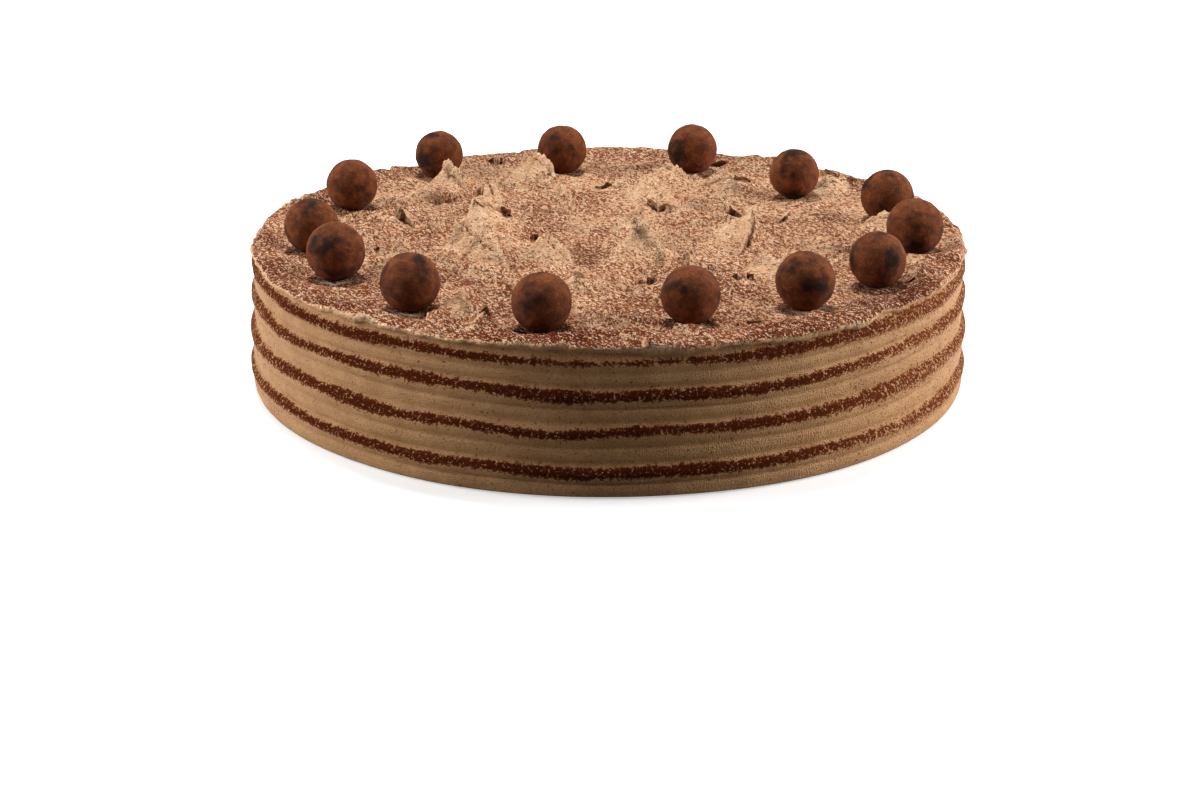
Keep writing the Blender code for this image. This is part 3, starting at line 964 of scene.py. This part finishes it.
def make_flaps():
    shape = bmesh.new()
    rows = flap_rows()
    loop = 2 * FLAP_ROWS + 1
    for _ in rows:
        # Each blade starts as a flat grid, rolled up round its long way; its ends are closed.
        bmesh.ops.create_grid(shape, x_segments=FLAP_STEPS, y_segments=loop, size=1.0)
    grid = np.array([vert.co for vert in shape.verts])
    each = len(grid) // len(rows)
    step, row = grid[:each, 0], np.round((grid[:each, 1] + 1.0) / 2.0 * loop).astype(int)
    points = []
    root_shade = []
    dust_and_pale_rim = []
    for number, (x, y, half, way, tall, lean, thin) in enumerate(rows):
        seed = np.full(each, number * 0.37)
        line = np.column_stack((step * half, 0.0 * step, seed))
        wander = noise_at(line, 4.0 * MM, 71) * min(half * 0.25, 1.0 * MM)
        ragged = 1.0 + 0.35 * noise_at(line, 1.3 * MM, 72) + 0.25 * noise_at(line, 0.5 * MM, 73)
        ends = np.maximum(1.0 - np.abs(step) ** 2.2, 0.0) ** 0.8
        # The rows run up one face, over the thin edge and down the other.
        up = np.where(row <= FLAP_ROWS, row, loop - row) / FLAP_ROWS
        face = np.where(row <= FLAP_ROWS, -1.0, 1.0)
        height = tall * ragged * (0.15 + 0.85 * ends)
        thick = (thin * (1.0 - 0.8 * up)) * (0.3 + 0.7 * ends)
        across = wander + face * thick * 0.5 + lean * height * up**1.8
        cos, sin = math.cos(way), math.sin(way)
        line_x, line_y = x + step * half * cos, y + step * half * sin
        root_x, root_y = line_x - wander * sin, line_y + wander * cos
        ground = press_truffles(root_x, root_y, top_surface(root_x, root_y)[2])
        z = ground - FLAP_FOOT + (height + FLAP_FOOT) * up * (1.0 - 0.18 * up)
        points.append(np.column_stack((line_x - across * sin, line_y + across * cos, z)))
        # Painted shade on the face under the blade's lean, darkest at its foot.
        root_shade.append(np.where(face * lean > 0.0, 0.6 * (1.0 - up), 0.0))
        # Cocoa thins towards the blade's upper edge: partly a lighter dusting, partly a painted
        # highlight.
        dust_and_pale_rim.append(0.34 - 0.22 * up)
    for vert, place in zip(shape.verts, np.concatenate(points)):
        vert.co = place
    # The long sides of each grid meet at the foot, and each end is one small face.
    edges = [edge for edge in shape.edges if edge.is_boundary]
    bmesh.ops.holes_fill(shape, edges=edges, sides=0)
    bmesh.ops.triangulate(shape, faces=[face for face in shape.faces if len(face.verts) > 4])
    made = new_object("torn_edges", shape, spread_cream)
    points = read_points(made.data)
    cocoa = np.concatenate(dust_and_pale_rim) + 0.12 * noise_at(points, 5.0 * MM, 74)
    paint(made.data, "cocoa", cocoa)
    paint(made.data, "lip", 0.0 * cocoa)
    paint(made.data, "smear", 0.0 * cocoa)
    paint(made.data, "tear_shade", np.concatenate(root_shade))
    return made


flaps = make_flaps()
print("torn edges:", len(flaps.data.polygons), "faces")

# %% [markdown]
# ## The truffles
#
# Each truffle is a fine ball from an icosphere, which has no poles to pinch. A hand rolls a ball with
# flats and soft corners, so three sizes of noise push its surface in and out.

# %% Roll the truffles
TRUFFLE_LEVEL = 5
SOFT_LUMP = 0.18 * MM
FINE_LUMP = 0.08 * MM
truffles = []
for number, (degrees, out, radius) in enumerate(TRUFFLES):
    ball = bmesh.new()
    bmesh.ops.create_icosphere(ball, subdivisions=TRUFFLE_LEVEL, radius=1.0)
    made = new_object(f"rolled_truffle_{number + 1:02d}", ball, cocoa_finish)
    way = read_points(made.data)
    way /= np.linalg.norm(way, axis=1)[:, None]
    lump = TRUFFLE_LUMP * same_noise(way * 1.5 + np.array([number * 3.0, 0.0, 0.0]), 1.0)
    fine = SOFT_LUMP * noise_at(way, 0.3, 60 + number) + FINE_LUMP * noise_at(way, 0.1, 80 + number)
    ball_points = way * (radius + lump + fine)[:, None]
    turn = math.radians(degrees)
    cos, sin = math.cos(turn), math.sin(turn)
    x = ball_points[:, 0] * cos - ball_points[:, 1] * sin + out * cos
    y = ball_points[:, 0] * sin + ball_points[:, 1] * cos + out * sin
    write_points(made.data, np.column_stack((x, y, ball_points[:, 2] + TRUFFLE_HEIGHT)))
    truffles.append(made)
print("truffles:", len(truffles), "with", len(truffles[0].data.polygons), "faces each")

# %% [markdown]
# ## What belongs to what
#
# Every piece rides on the cake's one body. The fine side and top stand for the plain solid of the
# cake, and each rolled truffle stands for its plain ball.

# %% Tie the pieces to the frame
for piece in (side, top, flaps, *truffles):
    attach(piece, "root")
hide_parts("cake")
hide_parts("cake")
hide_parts("cake")
for number, piece in enumerate(truffles):
    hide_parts(f"truffle_{number + 1:02d}")
print("pieces tied:", 3 + len(truffles))

# %% [markdown]
# ## Floor, light and camera
#
# The cake stands in a white room, as in a light tent. The light comes from above and a little from
# behind, and from both sides, with more from the right. So the top and the flanks are bright, and the
# front of the side falls into brown shade.

# %% Floor and light
floor_shape = bmesh.new()
bmesh.ops.create_circle(floor_shape, cap_ends=True, segments=96, radius=6.0)
floor_finish, _, floor_shader = new_material("white_card", 0.9, 1.45)
floor_shader.inputs["Base Color"].default_value = linear("#f4f4f4")
floor_shader.inputs["Emission Color"].default_value = (1.0, 1.0, 1.0, 1.0)
floor_shader.inputs["Emission Strength"].default_value = 0.45
floor = new_object("floor", floor_shape, floor_finish)


CAKE_MIDDLE = (0.0, 0.0, 0.04)
SKY_STRENGTH = 3.7
SKY_SOFTNESS = math.radians(16.0)
SKY_TILT = (math.radians(-20.0), math.radians(-2.0), 0.0)
ROOM_STRENGTH = 0.06


def softbox(name, place, wide, high, watts):
    """A rectangular area light at a place, turned to face the cake."""
    lamp = bpy.data.lights.new(name, "AREA")
    lamp.shape = "RECTANGLE"
    lamp.size = wide
    lamp.size_y = high
    lamp.energy = watts
    made = bpy.data.objects.new(name, lamp)
    made.location = place
    made.rotation_euler = (Vector(CAKE_MIDDLE) - Vector(place)).to_track_quat("-Z", "Y").to_euler()
    bpy.context.scene.collection.objects.link(made)
    return made


# A soft sky above and behind, a softbox beyond each flank, and a faint one above the front.
sky = bpy.data.lights.new("sky_panel", "SUN")
sky.energy = SKY_STRENGTH
sky.angle = SKY_SOFTNESS
sky_panel = bpy.data.objects.new("sky_panel", sky)
sky_panel.rotation_euler = SKY_TILT
bpy.context.scene.collection.objects.link(sky_panel)
softbox("left_side", (-1.1, -0.02, 0.35), 0.7, 0.6, 14.0)
softbox("right_side", (1.1, 0.04, 0.35), 0.7, 0.6, 18.0)
softbox("front_above", (0.0, -0.7, 1.3), 1.0, 0.7, 1.0)

# The floor shows as white but throws no light back up, so the foot of the side stays brown.
floor.visible_diffuse = False

world = bpy.data.worlds.new("white_room")
world.use_nodes = True
world.node_tree.nodes["Background"].inputs["Color"].default_value = (1.0, 1.0, 1.0, 1.0)
world.node_tree.nodes["Background"].inputs["Strength"].default_value = ROOM_STRENGTH
bpy.context.scene.world = world
bpy.context.scene.view_settings.view_transform = "Standard"
print("lights:", len(bpy.data.lights))

# %% Camera
# The camera looks down at the cake from the front, from a little above the rim.
CAMERA_DISTANCE = 0.9
CAMERA_ELEVATION = math.radians(15.87)
CAMERA_PITCH = math.radians(20.14)
CAMERA_LENS = 67.7
CAMERA_SIDE = -2.5 * MM
RIM_CENTRE = 56.3 * MM

lens = bpy.data.cameras.new("photo_camera")
lens.lens = CAMERA_LENS
lens.sensor_width = 36.0
lens.clip_start = 0.01
camera = bpy.data.objects.new("photo_camera", lens)
camera.location = (
    CAMERA_SIDE,
    -CAMERA_DISTANCE * math.cos(CAMERA_ELEVATION),
    RIM_CENTRE + CAMERA_DISTANCE * math.sin(CAMERA_ELEVATION),
)
camera.rotation_euler = (math.pi / 2.0 - CAMERA_PITCH, 0.0, 0.0)
bpy.context.scene.collection.objects.link(camera)
bpy.context.scene.camera = camera
print("camera at", [round(value, 4) for value in camera.location])
